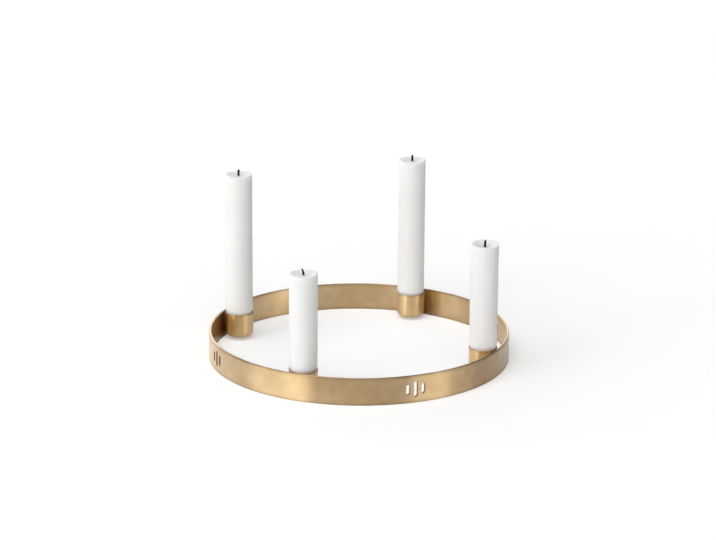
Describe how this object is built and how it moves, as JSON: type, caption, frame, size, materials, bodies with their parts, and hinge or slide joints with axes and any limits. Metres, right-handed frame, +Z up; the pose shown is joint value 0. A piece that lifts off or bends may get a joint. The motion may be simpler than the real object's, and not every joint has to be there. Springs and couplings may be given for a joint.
{
  "type": "advent candle holder",
  "caption": "Flat brass ring standing on its edge, with thin brass cups brazed inside it that hold white dinner candles burnt to different heights; slots between the cups take ribbon or wire.",
  "frame": {"origin": "centre of the ring on the table it stands on", "axes": "+Z up; the cups stand on the X and Y axes, front at -Y, right at +X, back at +Y and left at -X"},
  "size_m": [0.24, 0.24, 0.1417],
  "materials": {
    "ring_brass": "satin, brushed along the strip, lightly aged",
    "cup_brass": "satin, spun and brushed round the cup",
    "braze_metal": "matt, as flowed",
    "white_wax": "smooth white wax",
    "charred_wick": "burnt cotton"
  },
  "bodies": {
    "holder": {"ring_band": "ring_brass", "cup_front": "cup_brass", "cup_right": "cup_brass", "cup_back": "cup_brass", "cup_left": "cup_brass", "braze_front": "braze_metal", "braze_right": "braze_metal", "braze_back": "braze_metal", "braze_left": "braze_metal"},
    "front_candle": {"candle_front": "white_wax", "wick_front": "charred_wick"},
    "right_candle": {"candle_right": "white_wax", "wick_right": "charred_wick"},
    "back_candle": {"candle_back": "white_wax", "wick_back": "charred_wick"},
    "left_candle": {"candle_left": "white_wax", "wick_left": "charred_wick"}
  },
  "joints": [
    {"name": "front_candle_lift", "type": "slide", "parent": "holder", "child": "front_candle", "axis": [0, 0, 1], "range_m": [0, 0.03]},
    {"name": "right_candle_lift", "type": "slide", "parent": "holder", "child": "right_candle", "axis": [0, 0, 1], "range_m": [0, 0.03]},
    {"name": "back_candle_lift", "type": "slide", "parent": "holder", "child": "back_candle", "axis": [0, 0, 1], "range_m": [0, 0.03]},
    {"name": "left_candle_lift", "type": "slide", "parent": "holder", "child": "left_candle", "axis": [0, 0, 1], "range_m": [0, 0.03]}
  ]
}
